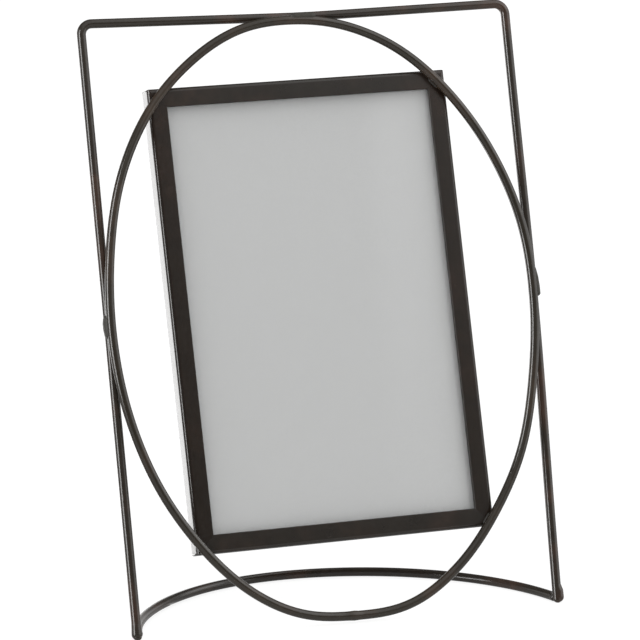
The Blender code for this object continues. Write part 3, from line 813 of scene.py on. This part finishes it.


# The floor is a white sweep. The camera sees it plain white, with the frame's shadow on it. The lacquer mirrors it
# darker, apart from a patch behind the frame on the left that glows brightly to mirrored rays alone: painted
# reflection.
FLOOR_SIZE = 30
FLOOR_GREY = 0.8          # its colour to the light that it throws back on the frame
FLOOR_GLOW = 0.87         # how white it is to the camera before any light falls on it
FLOOR_SHADE = 0.2         # how much of the light on it, and so of the shadow, shows
PLAIN_FLOOR = 0.45        # how bright the lacquer mirrors it
# The patch's brightness in the lacquer is painted reflection: the floor glows there to mirrored rays only, and no
# lamp lights it.
PAINTED_PATCH_GLOW = 4.4           # and its lit patch
PATCH_LEFT = 0.045        # how far left of the middle the patch starts
PATCH_BLUR = 0.015
PATCH_SLOPE = (1.3, 1.8)  # and how steeply its front edge runs back from there


def white_floor():
    """White to the camera, to the lacquer darker with a glowing patch of painted reflection, and a pale floor to all
    other light.
    """
    material, tree, shader, place = new_material("white_floor")
    shader.inputs["Roughness"].default_value = 0.9
    shader.inputs["Specular IOR Level"].default_value = 0
    ray = tree.nodes.new('ShaderNodeLightPath')
    seen = math_node(tree, 'MAXIMUM', ray.outputs["Is Camera Ray"], ray.outputs["Is Glossy Ray"])
    seen = math_node(tree, 'MAXIMUM', seen, ray.outputs["Is Transmission Ray"])
    tree.links.new(mix_node(tree, seen, (FLOOR_GREY,) * 3, (FLOOR_SHADE,) * 3), shader.inputs["Base Color"])
    split = tree.nodes.new('ShaderNodeSeparateXYZ')
    tree.links.new(place, split.inputs[0])
    leftward = math_node(tree, 'SUBTRACT', math_node(tree, 'MULTIPLY', split.outputs["X"], -1.0), PATCH_LEFT)
    slope = math_node(tree, 'DIVIDE', split.outputs["Y"], math_node(tree, 'MAXIMUM', leftward, 0.001))
    patch = math_node(tree, 'MULTIPLY', range_node(tree, slope, *PATCH_SLOPE),
                      range_node(tree, leftward, 0.0, PATCH_BLUR))
    # The patch glows to glossy rays only: painted reflection, not light from a lamp.
    painted_glow = range_node(tree, patch, 0.0, 1.0, PLAIN_FLOOR, PAINTED_PATCH_GLOW)
    mirrored = mix_node(tree, ray.outputs["Is Glossy Ray"], 1.0, painted_glow, 'FLOAT')
    glow = tree.nodes.new('ShaderNodeEmission')
    strength = math_node(tree, 'MULTIPLY', math_node(tree, 'MULTIPLY', seen, FLOOR_GLOW), mirrored)
    tree.links.new(strength, glow.inputs["Strength"])
    both = tree.nodes.new('ShaderNodeAddShader')
    tree.links.new(shader.outputs[0], both.inputs[0])
    tree.links.new(glow.outputs[0], both.inputs[1])
    tree.links.new(both.outputs[0], tree.nodes["Material Output"].inputs["Surface"])
    return material


solid = bmesh.new()
bmesh.ops.create_grid(solid, x_segments=1, y_segments=1, size=FLOOR_SIZE / 2)
floor_mesh = bpy.data.meshes.new("white_sweep")
solid.to_mesh(floor_mesh)
solid.free()
floor_mesh.materials.append(white_floor())
white_sweep = bpy.data.objects.new("white_sweep", floor_mesh)
bpy.context.scene.collection.objects.link(white_sweep)


# The studio lights the frame evenly from all around and from one large soft lamp overhead. Mirrored in the
# lacquer are also a white sweep low behind, a room in front that is dim below and paler above and on the
# right, a strip on the left and a pale panel on the right, and these light nothing.
AMBIENT = 1.0             # the light from all around
ROOM = 0.05
ROOM_ABOVE = 0.3
ROOM_RIGHT = 5.0          # how many times brighter its right is
SWEEP = 1.0
DARK_ABOVE = 0.12         # how bright it is behind, above the sweep
# Where one gives way to the next, in a direction of length 1: going up, right, up and back.
ROOM_EDGE = (0.28, 0.44)
RIGHT_EDGE = (0.3445, 0.3525)
SWEEP_EDGE = (0.2, 0.42)
BEHIND_EDGE = (0.0, 0.5)
LAMP_AIM = Vector((0, 0, 0.1))


def studio_world():
    """White to the camera and through the glass, the room where it is mirrored, and even light otherwise."""
    world = bpy.data.worlds.new("studio")
    bpy.context.scene.world = world
    world.use_nodes = True
    tree = world.node_tree
    light = tree.nodes["Background"]
    light.inputs["Color"].default_value = (1, 1, 1, 1)
    coordinates = tree.nodes.new('ShaderNodeTexCoord')
    split = tree.nodes.new('ShaderNodeSeparateXYZ')
    tree.links.new(coordinates.outputs["Generated"], split.inputs[0])
    x, y, z = (split.outputs[axis] for axis in "XYZ")
    room = math_node(tree, 'MULTIPLY', range_node(tree, z, *ROOM_EDGE, ROOM, ROOM_ABOVE),
                     range_node(tree, x, *RIGHT_EDGE, 1.0, ROOM_RIGHT))
    sweep = range_node(tree, z, *SWEEP_EDGE, SWEEP, DARK_ABOVE)
    mirrored = mix_node(tree, range_node(tree, y, *BEHIND_EDGE), room, sweep, 'FLOAT')
    ray = tree.nodes.new('ShaderNodeLightPath')
    around = mix_node(tree, ray.outputs["Is Glossy Ray"], AMBIENT, mirrored, 'FLOAT')
    white = math_node(tree, 'MAXIMUM', ray.outputs["Is Camera Ray"], ray.outputs["Is Transmission Ray"])
    tree.links.new(mix_node(tree, white, around, 1.0, 'FLOAT'), light.inputs["Strength"])


def softbox(name, place, width, height, brightness, lights=True):
    """A rectangular lamp aimed at the frame. A brightness of 1 shows as white where it is mirrored."""
    data = bpy.data.lights.new(name, 'AREA')
    data.shape = 'RECTANGLE'
    data.size = width
    data.size_y = height
    data.energy = brightness * pi * width * height
    lamp = bpy.data.objects.new(name, data)
    lamp.location = place
    lamp.rotation_euler = (LAMP_AIM - Vector(place)).to_track_quat('-Z', 'Y').to_euler()
    lamp.visible_camera = False
    lamp.visible_diffuse = lights
    bpy.context.scene.collection.objects.link(lamp)


studio_world()
softbox("overhead_light", (0.25, -0.75, 1.9), width=2.4, height=2.4, brightness=0.55)
softbox("left_strip", (-1.45, -0.42, 0.55), width=0.62, height=1.2, brightness=10.0, lights=False)
softbox("right_panel", (1.4, -0.55, 0.5), width=1.6, height=1.2, brightness=1.3, lights=False)


# The camera is the photograph's: a long lens, a little above the frame and to the left of its front. Its
# place was worked out from the edges of the box, the legs and the base arc.
CAMERA_PLACE = (-0.55321, -1.48923 - MIDDLE_Y, 0.40680)
CAMERA_DOWN = 10.7785     # degrees
CAMERA_RIGHT = 19.96786
LENS = 270.19
camera_data = bpy.data.cameras.new("camera")
camera_data.sensor_width = 36
camera_data.lens = LENS
camera_data.clip_end = 100
camera = bpy.data.objects.new("camera", camera_data)
camera.location = CAMERA_PLACE
camera.rotation_euler = (radians(90 - CAMERA_DOWN), 0, radians(-CAMERA_RIGHT))
bpy.context.scene.collection.objects.link(camera)
bpy.context.scene.camera = camera
bpy.context.scene.view_settings.view_transform = 'Standard'
